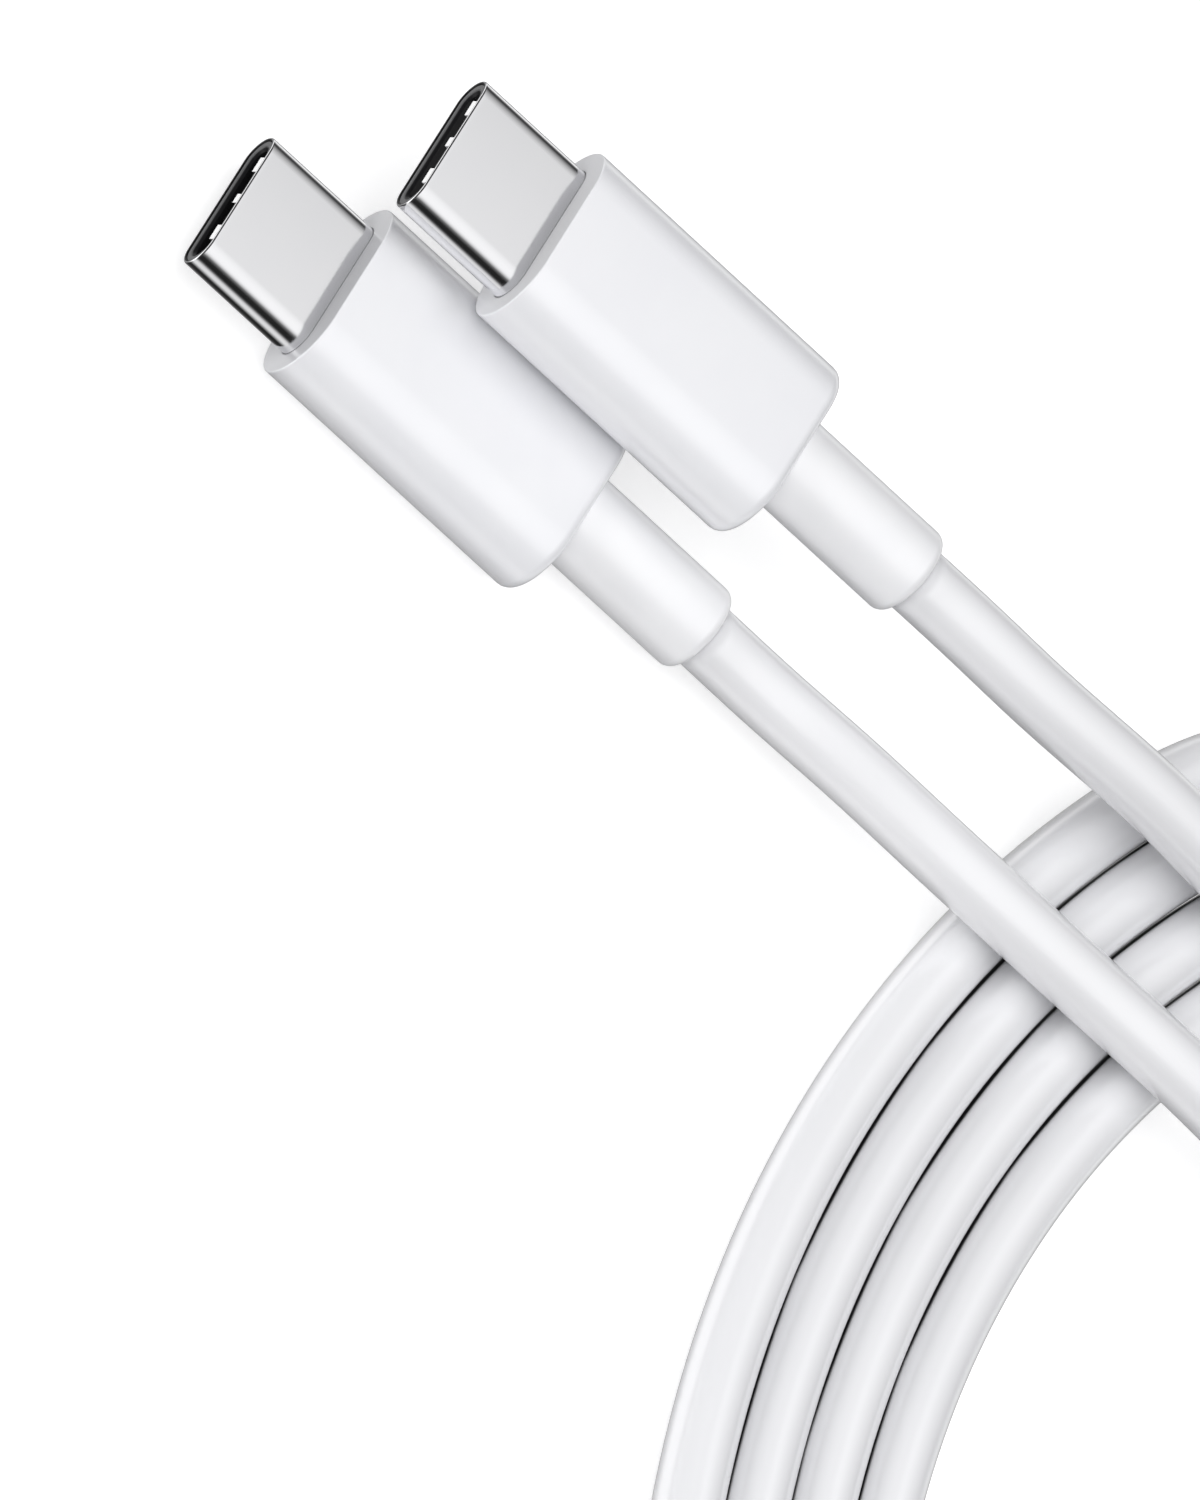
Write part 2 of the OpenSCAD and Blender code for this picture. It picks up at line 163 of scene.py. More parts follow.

# %% [markdown]
# ## The cord's route
# The cord is one piece, so it is one surface. Each plug's stretch goes over the coil and into its
# middle along listed points. The wound part is worked out: an oval made of a long bow, two
# corners and a straight, whose strands step inwards by one pitch on the far side of each turn.

# %% Listed stretches, in millimetres
CORD_D = 3.6
OVER_COIL = 1.5 * CORD_D
route_a = [
    [0, 17.8, 2.85], [0.1, 23, 3], [0.5, 28, 3.9], [1.1, 33, 4.9],
    [1.4, 38, OVER_COIL], [1.4, 45, OVER_COIL], [1.4, 52, OVER_COIL], [1.4, 57.5, 5],
    [1.4, 63, 5], [1.4, 68, OVER_COIL], [0.6, 73.3, OVER_COIL], [-2.3, 77.8, OVER_COIL],
    [-5.8, 80.3, OVER_COIL], [-10.6, 81.5, OVER_COIL]]
route_b = [
    [-7.5, 23.65, 8.1], [-7.5, 28, 8.1], [-7.6, 33, 7.8], [-8, 38, 7.3],
    [-8.4, 43, 6.6], [-8.5, 49, 5.7], [-8.5, 53, OVER_COIL], [-8.5, 56, 5.1],
    [-8.4, 59.6, 4.2], [-7.7, 63.3, 3.2], [-5.2, 67.6, 2.2], [-1.5, 70.7, 1.8], [5.5, 72.5, 1.8]]

# %% The coil's oval
BOW_CENTRE = np.array([13.75, 99.05])
BOW_R = 61.2
BOW_HALF = math.radians(24)
CORNER_R = 23.0
PITCH = 3.65
bow_ends = [np.array([side * math.sin(BOW_HALF), -math.cos(BOW_HALF)]) for side in (-1, 1)]
corner_left, corner_right = [BOW_CENTRE + (BOW_R - CORNER_R) * e for e in bow_ends]
STRAIGHT = corner_right[0] - corner_left[0]
BOW_LEN = 2 * BOW_HALF * BOW_R
CORNER_LEN = (math.pi - BOW_HALF) * CORNER_R
LAP = BOW_LEN + 2 * CORNER_LEN + STRAIGHT


def oval(s, inset):
    """Point on the oval at distance s along its outer strand, moved inwards by inset.

    s starts where the left corner meets the bow and runs anticlockwise: bow, right corner, far
    straight, left corner. The outward normal turns with s on the arcs and stands still on the
    straight; a strand's point is the outer strand's point minus inset times that normal.
    """
    s = np.mod(s, LAP)
    ends = np.cumsum([BOW_LEN, CORNER_LEN, STRAIGHT, CORNER_LEN])
    on_bow = -math.pi / 2 - BOW_HALF + s / BOW_R
    on_right = -math.pi / 2 + BOW_HALF + (s - ends[0]) / CORNER_R
    on_left = math.pi / 2 + (s - ends[2]) / CORNER_R
    angle = np.select([s < ends[0], s < ends[1], s < ends[2]], [on_bow, on_right, math.pi / 2], on_left)
    normal = np.stack([np.cos(angle), np.sin(angle)], -1)
    slide = np.clip((s - ends[1]) / STRAIGHT, 0, 1)[..., None]
    on_far_side = corner_right * (1 - slide) + corner_left * slide
    is_bow = (s < ends[0])[..., None]
    centre = np.where(is_bow, BOW_CENTRE, on_far_side)
    radius = np.where(is_bow, BOW_R, CORNER_R)
    return centre + normal * (radius - np.asarray(inset)[..., None])


def ease(t):
    """Smooth step from 0 to 1: 3 t^2 - 2 t^3, flat at both ends."""
    t = np.clip(t, 0, 1)
    return t * t * (3 - 2 * t)


# %% [markdown]
# ## Winding the coil
# One lap after another follows the oval. A strand keeps its place on the bow, where the near side
# of the coil shows neat parallel strands, and steps inwards by one pitch on the far straight.
# The cord from the lower plug climbs over the strands and comes down into the outermost place, and
# the innermost strand leaves for the upper plug along a quarter turn.

# %% Centreline of the whole cord
CLIMB_R = 12.5
CLIMB_FROM = math.radians(87.7)
CLIMB_TO = math.radians(152.5)
STEP_START = BOW_LEN + CORNER_LEN
STEP_END = STEP_START + 22.4
LAPS = 4
POINTS_A_LAP = 48

climb_end = corner_left + CORNER_R * np.array([math.cos(CLIMB_TO), math.sin(CLIMB_TO)])
climb_centre = climb_end - CLIMB_R * np.array([math.cos(CLIMB_TO), math.sin(CLIMB_TO)])
LANDING = LAP - CORNER_LEN + (CLIMB_TO - math.pi / 2) * CORNER_R
LEAVING = LAPS * LAP + BOW_LEN + CORNER_LEN + corner_right[0] - route_b[-1][0]
CLIMB_LEN = (CLIMB_TO - CLIMB_FROM) * CLIMB_R
SETTLE_LEN = 8.0


def descent(travel):
    """Height of the cord as it comes down from on top of the coil to lie on the surface."""
    return OVER_COIL - CORD_D * ease(travel / (CLIMB_LEN + SETTLE_LEN))


turn_angle = np.linspace(CLIMB_FROM, CLIMB_TO, 6)[1:-1]
climb = np.column_stack([
    climb_centre[0] + CLIMB_R * np.cos(turn_angle),
    climb_centre[1] + CLIMB_R * np.sin(turn_angle),
    descent((turn_angle - CLIMB_FROM) * CLIMB_R)])
s_coil = np.linspace(LANDING, LEAVING, int((LEAVING - LANDING) / LAP * POINTS_A_LAP))
lap = np.floor(s_coil / LAP)
inset = PITCH * (lap - 1 + ease((s_coil - lap * LAP - STEP_START) / (STEP_END - STEP_START)))
wound = np.column_stack([oval(s_coil, inset), descent(CLIMB_LEN + s_coil - LANDING)])
knots = np.vstack([route_a, climb, wound, route_b[-2::-1]])
print(f"coil: {LAP:.0f} mm round its outer strand, {LAPS} strands {PITCH} mm apart")


# %% A smooth line through the knots
def smooth_line(points, spacing):
    """Natural cubic spline through points, resampled at an even spacing.

    The second derivatives m solve the usual tridiagonal system; each span is then the cubic that
    meets its two points with those bends. Length is summed over a fine copy and shared out evenly.
    """
    t = np.concatenate([[0], np.cumsum(np.linalg.norm(np.diff(points, axis=0), axis=1))])
    h = np.diff(t)
    system = np.diag(np.concatenate([[1], 2 * (h[:-1] + h[1:]), [1]]))
    inner = np.arange(1, len(t) - 1)
    system[inner, inner - 1] = h[:-1]
    system[inner, inner + 1] = h[1:]
    slopes = np.diff(points, axis=0) / h[:, None]
    bends = np.zeros_like(points)
    bends[1:-1] = 6 * np.diff(slopes, axis=0)
    m = np.linalg.solve(system, bends)

    def value(x):
        k = np.clip(np.searchsorted(t, x, side="right") - 1, 0, len(h) - 1)
        a, b, w = (t[k + 1] - x)[:, None], (x - t[k])[:, None], h[k][:, None]
        cubic = (m[k] * a**3 + m[k + 1] * b**3) / (6 * w)
        return cubic + (points[k] / w - m[k] * w / 6) * a + (points[k + 1] / w - m[k + 1] * w / 6) * b

    fine = value(np.linspace(0, t[-1], 20 * len(points)))
    run = np.concatenate([[0], np.cumsum(np.linalg.norm(np.diff(fine, axis=0), axis=1))])
    count = int(run[-1] / spacing) + 1
    even = np.linspace(0, run[-1], count)
    return np.column_stack([np.interp(even, run, fine[:, k]) for k in range(3)]), run[-1]


knots = np.asarray(knots, float)
centreline, cord_mm = smooth_line(knots, 0.9)
CORD_LENGTH = cord_mm * MM
print(f"cord: {cord_mm:.0f} mm between the strain reliefs, {len(centreline)} rings")


# %% [markdown]
# ## Meshes from grids
# Every surface here is a grid of points: rows along it and columns round it. One helper turns such
# a grid into a closed mesh, with a UV map in metres along and round, so that a pattern can follow
# the surface.


# %% Grid to mesh
def grid_mesh(name, grid, loop_rows=False, cap=False, uv=None):
    """Mesh from an array of rows x columns x 3; columns always close on themselves.

    loop_rows joins the last row to the first. cap closes both ends with one flat face each.
    """
    rows, cols = grid.shape[:2]
    row = np.arange(rows if loop_rows else rows - 1)[:, None]
    col = np.arange(cols)[None, :]
    after, beside = (row + 1) % rows, (col + 1) % cols
    quads = np.stack([
        row * cols + col, row * cols + beside, after * cols + beside, after * cols + col], -1)
    quads = quads.reshape(-1, 4)
    corners = quads.ravel()
    starts = np.arange(len(quads)) * 4
    if cap:
        ends = np.concatenate([np.arange(cols)[::-1], (rows - 1) * cols + np.arange(cols)])
        starts = np.append(starts, [len(corners), len(corners) + cols])
        corners = np.concatenate([corners, ends])
    mesh = bpy.data.meshes.new(name)
    mesh.vertices.add(rows * cols)
    mesh.vertices.foreach_set("co", grid.reshape(-1).astype(np.float32))
    mesh.loops.add(len(corners))
    mesh.loops.foreach_set("vertex_index", corners.astype(np.int32))
    mesh.polygons.add(len(starts))
    mesh.polygons.foreach_set("loop_start", starts.astype(np.int32))
    mesh.update(calc_edges=True)
    mesh.polygons.foreach_set("use_smooth", np.ones(len(starts), bool))
    if uv is not None:
        layer = mesh.uv_layers.new(name="along_round")
        last = (np.arange(len(quads)) % cols) == cols - 1
        flat = uv.reshape(-1, 2)[corners]
        # the last column's far corners wrap to the first column: carry them past the end
        wrap = np.zeros(len(corners), bool)
        wrap[: 4 * len(quads)].reshape(-1, 4)[last, 1:3] = True
        flat[wrap, 1] += uv[0, -1, 1] + uv[0, 1, 1]
        layer.data.foreach_set("uv", flat.astype(np.float32).ravel())
    mesh.update()
    piece = bpy.data.objects.new(name, mesh)
    bpy.context.scene.collection.objects.link(piece)
    print(f"{name}: {len(starts)} faces")
    return piece


# %% Welding
def weld(piece):
    """Merges points that coincide, where a ring is a full circle or narrows to a point."""
    shape = bmesh.new()
    shape.from_mesh(piece.data)
    bmesh.ops.remove_doubles(shape, verts=shape.verts, dist=1e-7)
    shape.to_mesh(piece.data)
    shape.free()
    return piece


# %% The cord
def gap_to_strands(line, run, grid, radius):
    """How far each point of a tube is from the nearest other strand of the same tube.

    gap = the distance to the nearest centreline point, less the radius. Centreline points within
    a quarter lap of the point's own ring aren't counted, since they belong to the same strand.
    """
    own = LAP * MM / 4
    gap = np.empty(grid.shape[:2])
    for k, ring in enumerate(grid):
        other = line[np.abs(run - run[k]) > own]
        gap[k] = np.linalg.norm(ring[:, None] - other[None], axis=2).min(axis=1) - radius
    return gap


def swept_tube(name, line, diameter, sides=48):
    """Round tube carried along a line: point = centre + r (cos a * side + sin a * up).

    The tangent is the line's central difference. side is level, at right angles to the tangent,
    and up completes the frame, so the tube doesn't twist.
    """
    tangent = np.gradient(line, axis=0)
    tangent /= np.linalg.norm(tangent, axis=1)[:, None]
    side = np.cross(tangent, [0, 0, 1.0])
    side /= np.linalg.norm(side, axis=1)[:, None]
    rise = np.cross(side, tangent)
    a = np.linspace(0, 2 * math.pi, sides, endpoint=False)[None, :, None]
    grid = line[:, None] + diameter / 2 * (np.cos(a) * side[:, None] + np.sin(a) * rise[:, None])
    run = np.concatenate([[0], np.cumsum(np.linalg.norm(np.diff(line, axis=0), axis=1))])
    uv = np.stack(np.broadcast_arrays(run[:, None], a[..., 0] * diameter / 2), -1)
    piece = grid_mesh(name, grid, cap=True, uv=uv)
    # the gap feeds the jacket's painted shade between touching strands
    gap = gap_to_strands(line, run, grid, diameter / 2)
    layer = piece.data.attributes.new("gap", "FLOAT", "POINT")
    layer.data.foreach_set("value", gap.astype(np.float32).ravel())
    return piece


line_m = centreline * MM
cord = swept_tube("cord_jacket", line_m, CORD_D * MM)
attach(cord, "root")
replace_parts(cord, "cord_a", "cord_b", "cord_coil")

# %% [markdown]
# ## Rings that change shape
# The shell and the moulding have a stadium section: straight above and below, half round at the
# sides. A sleeve is a stack of such rings, given by width, height and station. A circle is a
# stadium as wide as it is high, so one recipe also makes the step from the flat moulding to the
# round strain relief.


# %% Stadium rings
ARC_POINTS = 28


def stadium_grid(rings):
    """Grid of stadium rings. rings holds (width, height, station) rows.

    A ring is two half circles of radius height / 2, pushed apart by width - height.
    """
    rings = np.asarray(rings, float)
    half = np.linspace(-math.pi / 2, math.pi / 2, ARC_POINTS)
    angle = np.concatenate([half, half + math.pi])
    push = np.repeat([0.5, -0.5], ARC_POINTS)
    width, height, station = rings.T[..., None]
    x = push * (width - height) + height / 2 * np.cos(angle)
    z = height / 2 * np.sin(angle)
    return np.stack([x, np.broadcast_to(station, x.shape), z], -1)


def rounded(width, height, station, radius, outwards, steps=8):
    """Rings of a quarter-round edge on a sleeve of that width and height.

    outwards 1 grows from the end face to the side wall, and -1 shrinks from the side wall to the
    end face; station is that of the end face.
    """
    t = np.linspace(0, math.pi / 2, steps)
    sunk = radius * (1 - np.sin(t))
    depth = radius * (1 - np.cos(t))
    if outwards > 0:
        return [(width - 2 * a, height - 2 * a, station + b) for a, b in zip(sunk, depth)]
    return [(width - 2 * a, height - 2 * a, station - b) for a, b in zip(sunk[::-1], depth[::-1])]


def place(grid, end):
    """Moves a plug's grid from its own stations to where that plug lies."""
    return grid + plugs[end]["mouth"]


# %% The steel shells
SHELL_WALL = 0.2 * MM
LIP = 0.1 * MM


def make_shell(end):
    """Drawn steel tube: outer wall, rolled front lip and inner wall, closed at its rear edge."""
    p = plugs[end]
    w, h = p["shell"]
    rear = p["shell_end"]
    inner_w, inner_h = w - 2 * SHELL_WALL, h - 2 * SHELL_WALL
    t = np.linspace(0, math.pi, 13)
    lip = [(w - SHELL_WALL + SHELL_WALL * math.cos(a), h - SHELL_WALL + SHELL_WALL * math.cos(a),
            LIP * (1 - math.sin(a))) for a in t]
    rings = [(w, h, rear), (w, h, rear - LIP), (w, h, 3 * LIP)] + lip
    rings += [(inner_w, inner_h, 3 * LIP), (inner_w, inner_h, rear)]
    piece = grid_mesh(f"shell_{end}_polished", place(stadium_grid(rings), end), loop_rows=True)
    # faces of the inner wall take the second slot, which gets the bore's painted shade
    row_of_face = np.arange(len(piece.data.polygons)) // (2 * ARC_POINTS)
    inside = (row_of_face >= 3 + len(lip) // 2) & (row_of_face < len(rings) - 1)
    piece.data.materials.append(None)
    piece.data.materials.append(None)
    piece.data.polygons.foreach_set("material_index", inside.astype(np.int32))
    return piece


# %% The mouldings
FRONT_ROUND = 0.08 * MM
REAR_ROUND = 0.7 * MM
JOINT = 0.03 * MM
JOINT_DEPTH = 0.5 * MM
NEAR = 0.03 * MM


def make_moulding(end):
    """Outer moulding: front face, side wall, rear face, then back through the hollow inside."""
    p = plugs[end]
    w, h = p["mould"]
    sw, sh = p["shell"]
    front, rear = p["face"], p["mould_end"]
    # the skin's hole lies within the sleeve's wall, so the sleeve comes out of the rounded end
    hole = 0.8 * p["boot"]
    # the groove round the shell and its broken edge
    rings = [(sw + 2 * JOINT, sh + 2 * JOINT, front + JOINT_DEPTH),
             (sw + 2 * JOINT, sh + 2 * JOINT, front + NEAR), (sw + 3 * JOINT, sh + 3 * JOINT, front)]
    # the front face, kept flat by a ring near each of its edges, and the side wall
    flush = 2 * FRONT_ROUND + 2 * NEAR
    rings += [(sw + 8 * JOINT, sh + 8 * JOINT, front), (w - flush, h - flush, front)]
    rings += rounded(w, h, front, FRONT_ROUND, 1)
    rings += [(w, h, front + 2 * FRONT_ROUND), (w, h, rear - 2 * REAR_ROUND)]
    rings += rounded(w, h, rear, REAR_ROUND, -1, steps=16)
    flush = 2 * REAR_ROUND + 2 * NEAR
    rings += [(w - flush, h - flush, rear), (hole, hole, rear), (hole, hole, rear - NEAR)]
    # back inside: past the sleeve, round the inner mould and the can, to the shell
    rings += [(hole, hole, p["inner_end"] + 2 * NEAR), (*p["inner"], p["inner_end"]),
              (*p["inner"], p["can_end"]), (*p["can"], p["can_end"] - NEAR), (*p["can"], p["can_start"]),
              (sw, sh, p["can_start"] - NEAR), (sw, sh, front + JOINT_DEPTH)]
    return weld(grid_mesh(f"moulding_{end}", place(stadium_grid(rings), end), loop_rows=True))


# %% The strain reliefs
BOOT_ROUND = 0.6 * MM


def make_boot(end):
    """Sleeve round the cord: from inside the moulding to a rounded free end, and back by its bore."""
    p = plugs[end]
    d, bore = p["boot"], CORD_D * MM + 2 * NEAR
    start, stop = p["inner_end"] + 4 * NEAR, p["boot_end"]
    rings = [(bore, bore, start), (d, d, start), (d, d, start + 2 * NEAR)]
    rings += [(d, d, p["mould_end"]), (d, d, stop - 2 * BOOT_ROUND)]
    rings += rounded(d, d, stop, BOOT_ROUND, -1, steps=14)
    rings += [(bore + 2 * NEAR, bore + 2 * NEAR, stop), (bore, bore, stop - NEAR)]
    return weld(grid_mesh(f"strain_relief_{end}", place(stadium_grid(rings), end), loop_rows=True))


def stand_in(piece, node):
    """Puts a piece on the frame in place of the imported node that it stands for."""
    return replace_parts(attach(piece, "root"), node)


shells, mouldings, boots = {}, {}, {}
for end in "ab":
    shells[end] = stand_in(make_shell(end), f"shell_{end}")
    mouldings[end] = stand_in(make_moulding(end), f"overmould_{end}")
    boots[end] = stand_in(make_boot(end), f"boot_{end}")

# %% [markdown]
# ## Finishes
# Shader maths reads best as plain expressions, so a small class wraps a socket and turns + and * into
# Math nodes. Any other node comes from one method, which is told the node's type, its settings and
# what feeds its sockets.


# %% Sockets as values
class Wire:
    """A socket that can be used in sums and products."""

    def __init__(self, graph, socket):
        self.graph, self.socket = graph, socket

    def _maths(self, operation, first, second):
        return self.graph.node("ShaderNodeMath", {"operation": operation}, {0: first, 1: second})

    def __add__(self, other):
        return self._maths("ADD", self, other)

    def __radd__(self, other):
        return self._maths("ADD", other, self)

    def __mul__(self, other):
        return self._maths("MULTIPLY", self, other)

    def __rmul__(self, other):
        return self._maths("MULTIPLY", other, self)


class Graph:
    """A node tree that is built by calls."""

    def __init__(self, tree):
        self.tree = tree

    def node(self, kind, settings=None, inputs=None, out=0):
        """Adds a node, sets its settings, then its sockets from values or wires."""
        made = self.tree.nodes.new(kind)
        for key, value in (settings or {}).items():
            if key == "stops":
                self.fill_ramp(made.color_ramp, value)
            else:
                setattr(made, key, value)
        for key, value in (inputs or {}).items():
            if isinstance(value, Wire):
                self.tree.links.new(value.socket, made.inputs[key])
            else:
                made.inputs[key].default_value = value
        return Wire(self, made.outputs[out]) if made.outputs else made

    def fill_ramp(self, ramp, stops):
        """Sets a ramp's stops from (position, grey) pairs in rising order."""
        while len(ramp.elements) < len(stops):
            ramp.elements.new(0.5)
        for element, (position, grey) in zip(ramp.elements, stops):
            element.position = position
            element.color = (grey, grey, grey, 1)

    def step(self, wire, low, high):
        """0 below low, 1 above high, smooth between."""
        return self.node("ShaderNodeMapRange", {"interpolation_type": "SMOOTHSTEP"}, {
            "Value": wire, "From Min": low, "From Max": high})

    def mix(self, mask, first, second):
        """first where mask is 0 and second where it is 1, as colours."""
        return self.node("ShaderNodeMix", {"data_type": "RGBA"}, {0: mask, 6: first, 7: second}, out=2)

    def light_path(self, *outputs):
        """1 for rays of any of the named kinds, and 0 for the rest."""
        wires = [self.node("ShaderNodeLightPath", out=name) for name in outputs]
        either = wires[0]
        for wire in wires[1:]:
            either = self.node("ShaderNodeMath", {"operation": "MAXIMUM"}, {0: either, 1: wire})
        return either


class Finish(Graph):
    """A material whose Principled shader takes constants on its sockets and wires where it varies."""

    def __init__(self, name, **constants):
        self.material = bpy.data.materials.new(name)
        self.material.use_nodes = True
        super().__init__(self.material.node_tree)
        self.shader = self.tree.nodes["Principled BSDF"]
        for socket, value in constants.items():
            self.shader.inputs[socket.replace("_", " ")].default_value = value

    def place(self, output="Object"):
        """Texture coordinates: Object, or UV for what follows the surface."""
        return self.node("ShaderNodeTexCoord", out=output)

    def noise(self, where, size, detail=3.0, roughness=0.5):
        """Soft noise whose features are about size metres across."""
        return self.node("ShaderNodeTexNoise", None, {
            "Vector": where, "Scale": 1 / size, "Detail": detail, "Roughness": roughness})

    def stretched(self, where, scale):
        """Coordinates scaled separately along each axis."""
        return self.node("ShaderNodeMapping", None, {"Vector": where, "Scale": scale})

    def feed(self, socket, wire):
        self.tree.links.new(wire.socket, self.shader.inputs[socket])

    def bump(self, height, depth, strength=1.0):
        """Height from 0 to 1 as relief that is depth metres deep."""
        made = self.node("ShaderNodeBump", None, {
            "Height": height, "Distance": depth, "Strength": strength}, out="Normal")
        self.feed("Normal", made)


# %% [markdown]
# ## White mouldings, sleeves and jacket
# The three whites differ a little. The moulding is hard and satin, with a fine spark-eroded grain.
# The sleeve is a softer grade, slightly duller. The jacket is drawn through a die, which leaves
# faint lines along it and a soft gloss.


# %% White finishes
def white_moulding():
    f = Finish("satin_white_moulding", Base_Color=(0.858, 0.862, 0.886, 1), Roughness=0.33,
               IOR=1.5, Coat_Weight=1.0, Coat_Roughness=0.18, Coat_IOR=1.7)
    where = f.place()
    grain = f.noise(where, 0.09 * MM, 2)
    cloud = f.noise(where, 4 * MM, 2)
    clouded = f.mix(f.step(cloud, 0.3, 0.7), (0.850, 0.854, 0.880, 1), (0.866, 0.870, 0.892, 1))
    f.feed("Base Color", clouded)
    f.feed("Roughness", 0.3 + 0.05 * cloud + 0.03 * grain)
    f.bump(grain, 0.0015 * MM)
    return f.material


def white_rubber():
    f = Finish("soft_white_sleeve", Base_Color=(0.893, 0.895, 0.911, 1), Roughness=0.38,
               IOR=1.5, Coat_Weight=0.8, Coat_Roughness=0.22, Coat_IOR=1.6)
    where = f.place()
    grain = f.noise(where, 0.07 * MM, 2)
    cloud = f.noise(where, 2.5 * MM, 2)
    clouded = f.mix(f.step(cloud, 0.3, 0.7), (0.885, 0.888, 0.905, 1), (0.9, 0.902, 0.916, 1))
    f.feed("Base Color", clouded)
    f.feed("Roughness", 0.34 + 0.07 * cloud + 0.03 * grain)
    f.bump(grain, 0.0015 * MM)
    return f.material


# Painted shade: the jacket goes from near-black to white as the gap to another strand grows over this
# range, in metres
PAINTED_SHADE_GAP = (0.14 * MM, 0.25 * MM)


def white_jacket():
    """Glossy white jacket, with a near-black line of painted shade where two strands press together."""
    f = Finish("drawn_white_jacket", Base_Color=(0.85, 0.852, 0.868, 1), Roughness=0.3, IOR=1.5,
               Coat_Weight=1.0, Coat_Roughness=0.16, Coat_IOR=1.7)
    uv = f.place("UV")
    lines = f.noise(f.stretched(uv, (60.0, 4000.0, 1.0)), 1.0, 2)
    waves = f.noise(f.stretched(uv, (60.0, 90.0, 1.0)), 1.0, 2)
    white = f.mix(f.step(waves, 0.3, 0.7), (0.842, 0.844, 0.862, 1), (0.86, 0.862, 0.878, 1))
    gap = f.node("ShaderNodeAttribute", {"attribute_name": "gap"}, out="Fac")
    # painted shade: near-black in the crevice where another strand lies close, white elsewhere
    f.feed("Base Color", f.mix(f.step(gap, PAINTED_SHADE_GAP[0], PAINTED_SHADE_GAP[1]), (0.02, 0.02, 0.021, 1), white))
    f.feed("Roughness", 0.26 + 0.06 * waves + 0.05 * lines)
    f.bump(0.6 * waves + 0.4 * lines, 0.004 * MM)
    return f.material


# %% [markdown]
# ## Metals and dark plastics
# The shell is polished until it mirrors its surroundings, so its look comes from a smooth normal and
# a low roughness with faint drawing marks. Springs and latch are rolled strip, a little duller. The
# contacts are gold plated at their wiping ends.


# %% Metal and plastic finishes
def polished_steel():
    f = Finish("polished_steel", Base_Color=(0.84, 0.84, 0.855, 1), Metallic=1.0, Roughness=0.1)
    marks = f.noise(f.stretched(f.place(), (9000.0, 500.0, 9000.0)), 1.0, 2)
    cloud = f.noise(f.place(), 2 * MM, 2)
    f.feed("Roughness", 0.09 + 0.03 * marks + 0.03 * cloud)
    f.feed("Base Color", f.mix(cloud, (0.83, 0.83, 0.85, 1), (0.85, 0.85, 0.862, 1)))
    return f.material


def metal(name, colour, roughness, streak):
    """Rolled or plated strip: fine streaks along the plug in colour and roughness."""
    f = Finish(name, Base_Color=(*colour, 1), Metallic=1.0, Roughness=roughness)
    streaks = f.noise(f.stretched(f.place(), (12000.0, 900.0, 12000.0)), 1.0, 3)
    darker = tuple(c * (1 - streak) for c in colour)
    f.feed("Base Color", f.mix(streaks, (*darker, 1), (*colour, 1)))
    f.feed("Roughness", roughness - 0.05 + 0.1 * streaks)
    f.bump(streaks, 0.001 * MM)
    return f.material


def plastic(name, colour, roughness):
    """Moulded or laminated insulator: fine grain in its relief and a slight cloud in its colour."""
    f = Finish(name, Base_Color=(*colour, 1), Roughness=roughness, Specular_IOR_Level=0.2)
    grain = f.noise(f.place(), 0.05 * MM, 2)
    cloud = f.noise(f.place(), 0.8 * MM, 2)
    paler = tuple(min(1, c * 1.25 + 0.003) for c in colour)
    f.feed("Base Color", f.mix(cloud, (*colour, 1), (*paler, 1)))
    f.feed("Roughness", roughness - 0.04 + 0.08 * grain)
    f.bump(grain, 0.0005 * MM)
    return f.material


def painted_lit_front(end):
    """Black insulator whose moulded front face is painted a paler satin grey, as painted light."""
    face = corner(f"housing_{end}", 0, 1)
    f = Finish(f"painted_lit_front_{end}", Base_Color=(0.012, 0.012, 0.013, 1), Roughness=0.35,
               Specular_IOR_Level=0.2)
    along = f.node("ShaderNodeSeparateXYZ", None, {0: f.place()}, out="Y")
    grain = f.noise(f.place(), 0.05 * MM, 2)
    behind = f.step(along + 0.02 * MM * grain, face + 0.03 * MM, face + 0.1 * MM)
    # painted light: the front face paler grey than the black insulator behind it
    f.feed("Base Color", f.mix(behind, (0.15, 0.15, 0.153, 1), (0.01, 0.01, 0.011, 1)))
    f.feed("Roughness", 0.3 + 0.1 * grain)
    return f.material


finishes = {
    "white_moulding": white_moulding(),
    "white_rubber": white_rubber(),
    "white_jacket": white_jacket(),
    "polished_steel": polished_steel(),
    # Painted shade: the shells' inner walls are near-black dull steel, standing in for the shade inside
    # the mouths
    "painted_shade_bore": metal("painted_shade_bore", (0.06, 0.06, 0.062), 0.5, 0.2),
    "spring_steel": metal("bright_strip", (0.95, 0.95, 0.955), 0.42, 0.03),
    "can_steel": metal("satin_can", (0.62, 0.62, 0.64), 0.35, 0.12),
    "gold_plate": metal("gold_plate", (0.84, 0.62, 0.26), 0.24, 0.1),
    "dark_plastic": plastic("dark_insulator", (0.012, 0.012, 0.013), 0.2),
    "circuit_board": plastic("green_board", (0.03, 0.17, 0.07), 0.35),
    "chip_black": plastic("black_chip", (0.03, 0.03, 0.033), 0.5),
    "wire_cover": plastic("wire_cover", (0.5, 0.06, 0.05), 0.4),
    "inner_plastic": plastic("inner_mould", (0.75, 0.72, 0.65), 0.5),
}
print("finishes:", ", ".join(finishes))


